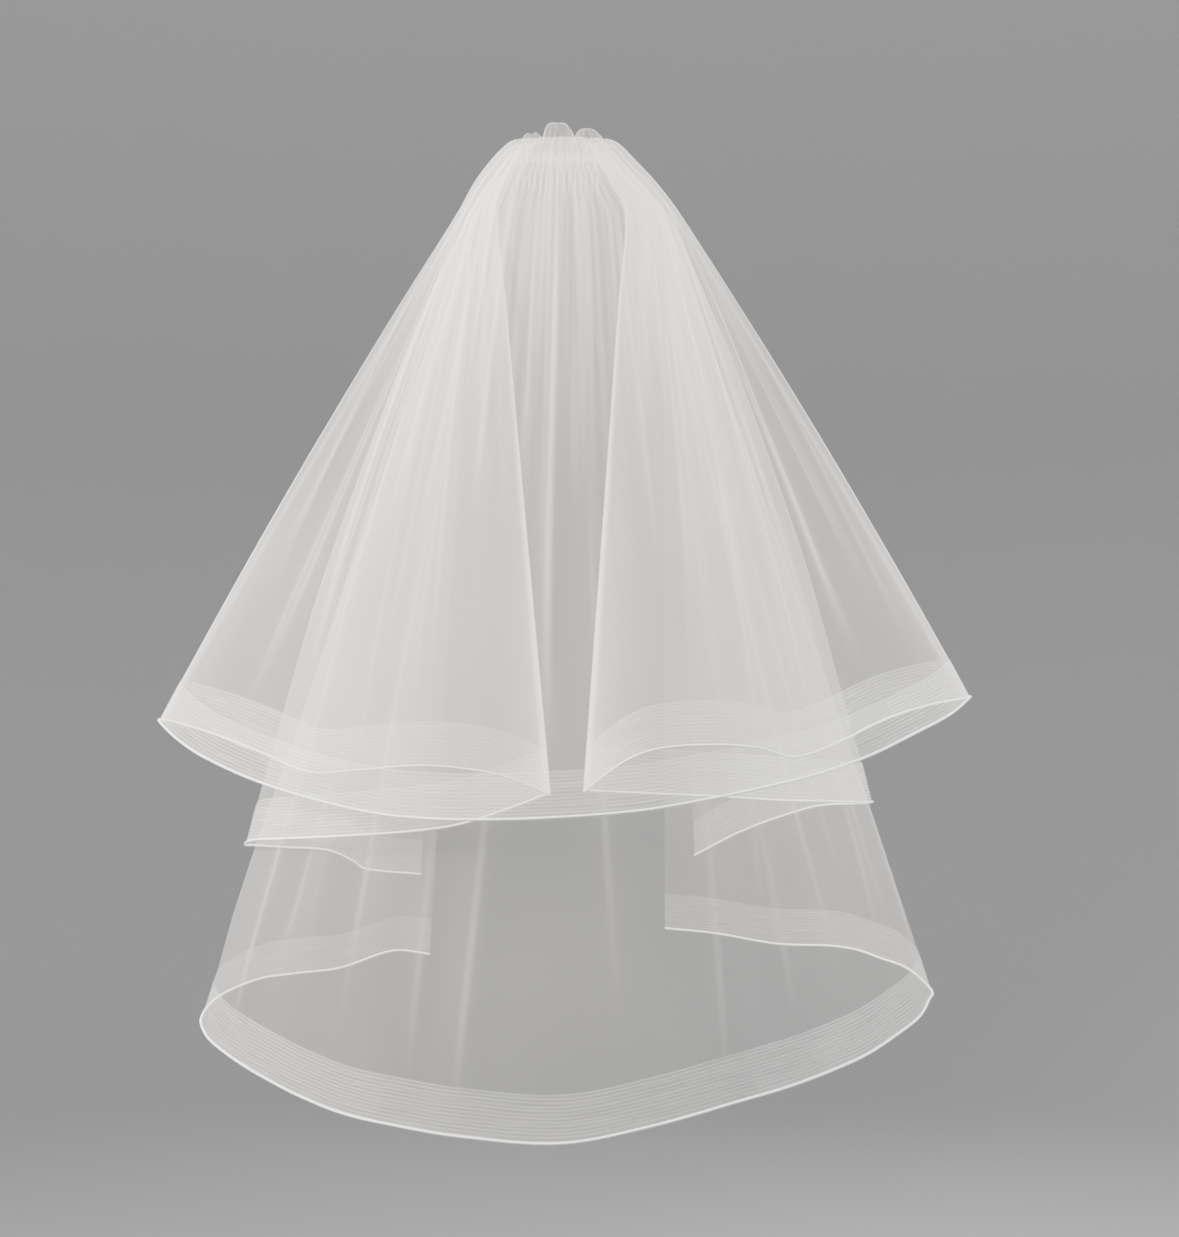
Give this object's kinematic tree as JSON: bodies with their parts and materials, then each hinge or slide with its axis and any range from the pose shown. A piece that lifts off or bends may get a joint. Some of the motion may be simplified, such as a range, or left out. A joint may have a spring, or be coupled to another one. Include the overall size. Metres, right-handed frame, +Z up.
{
  "type": "bridal veil",
  "caption": "Two-tier bridal veil of soft ivory tulle, gathered onto a comb, with wide horsehair braid along both flared hems",
  "frame": {"origin": "middle of the comb's length, at the crown, where the wearer's hair holds the veil", "axes": "+Z up as worn, the wearer's back faces -Y, and +X is the wearer's right, which is also the right of the picture"},
  "size_m": [0.7192, 0.5647, 0.9078],
  "materials": {
    "tulle": "soft, see-through net",
    "braid": "satin, fine ribs along it",
    "comb_metal": "dull"
  },
  "bodies": {
    "root": {"upper_tier_back": "tulle", "upper_tier_left_return": "tulle", "upper_tier_right_return": "tulle", "upper_tier_left_side": "tulle", "upper_tier_right_side": "tulle", "lower_tier_left": "tulle", "lower_tier_back": "tulle", "lower_tier_right": "tulle", "gathered_heading": "tulle", "puff_left": "tulle", "puff_centre": "tulle", "puff_right": "tulle", "upper_braid_back": "braid", "upper_braid_left_return": "braid", "upper_braid_right_return": "braid", "upper_braid_left_side": "braid", "upper_braid_right_side": "braid", "lower_braid_left": "braid", "lower_braid_back": "braid", "lower_braid_right": "braid", "comb": "comb_metal"}
  },
  "joints": []
}
